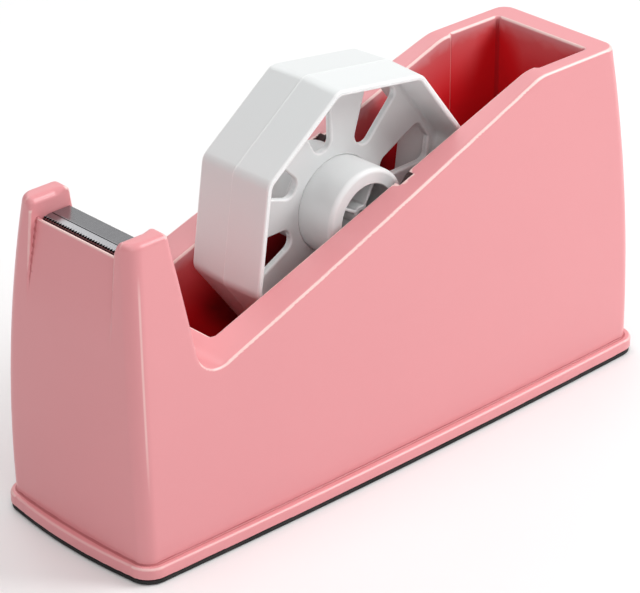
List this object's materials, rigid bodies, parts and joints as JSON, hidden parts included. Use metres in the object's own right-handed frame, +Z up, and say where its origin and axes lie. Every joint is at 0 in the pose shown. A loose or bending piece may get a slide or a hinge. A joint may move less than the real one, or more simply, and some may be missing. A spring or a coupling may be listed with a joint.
{
  "type": "tape dispenser",
  "caption": "Weighted desk tape dispenser: moulded body with a tape well, toothed steel blade, lift-out reel with an octagonal wheel, and a pen compartment.",
  "frame": {"origin": "middle of the foot, on the surface that it stands on", "axes": "+Z up, -X towards the blade, +X towards the pen compartment, Y along the reel's axis"},
  "size_m": [0.1776, 0.0582, 0.1004],
  "materials": {
    "pink_shell": "glossy moulded pink plastic",
    "plate_plastic": "plain grey moulded plastic",
    "pad_rubber": "matt black sheet rubber",
    "ballast_iron": "raw cast iron",
    "screw_steel": "zinc plated steel",
    "blade_steel": "polished stainless strip",
    "reel_plastic": "satin white moulded plastic",
    "axle_steel": "drawn steel rod"
  },
  "bodies": {
    "base": {"body_shell": "pink_shell", "base_plate": "plate_plastic", "rubber_pad": "pad_rubber", "ballast_front": "ballast_iron", "ballast_near": "ballast_iron", "ballast_far": "ballast_iron", "base_screw_1": "screw_steel", "base_screw_2": "screw_steel", "base_screw_3": "screw_steel", "base_screw_4": "screw_steel", "blade": "blade_steel"},
    "axle": {"axle_rod": "axle_steel"},
    "reel": {"core_hub": "reel_plastic", "core_wheel": "reel_plastic"}
  },
  "joints": [
    {"name": "reel_lift", "type": "slide", "parent": "base", "child": "axle", "axis": [0.7071, 0, 0.7071], "range_m": [0, 0.05]},
    {"name": "reel_spin", "type": "hinge", "parent": "axle", "child": "reel", "pos_m": [0, 0, 0.0634], "axis": [0, 1, 0], "continuous": true}
  ]
}
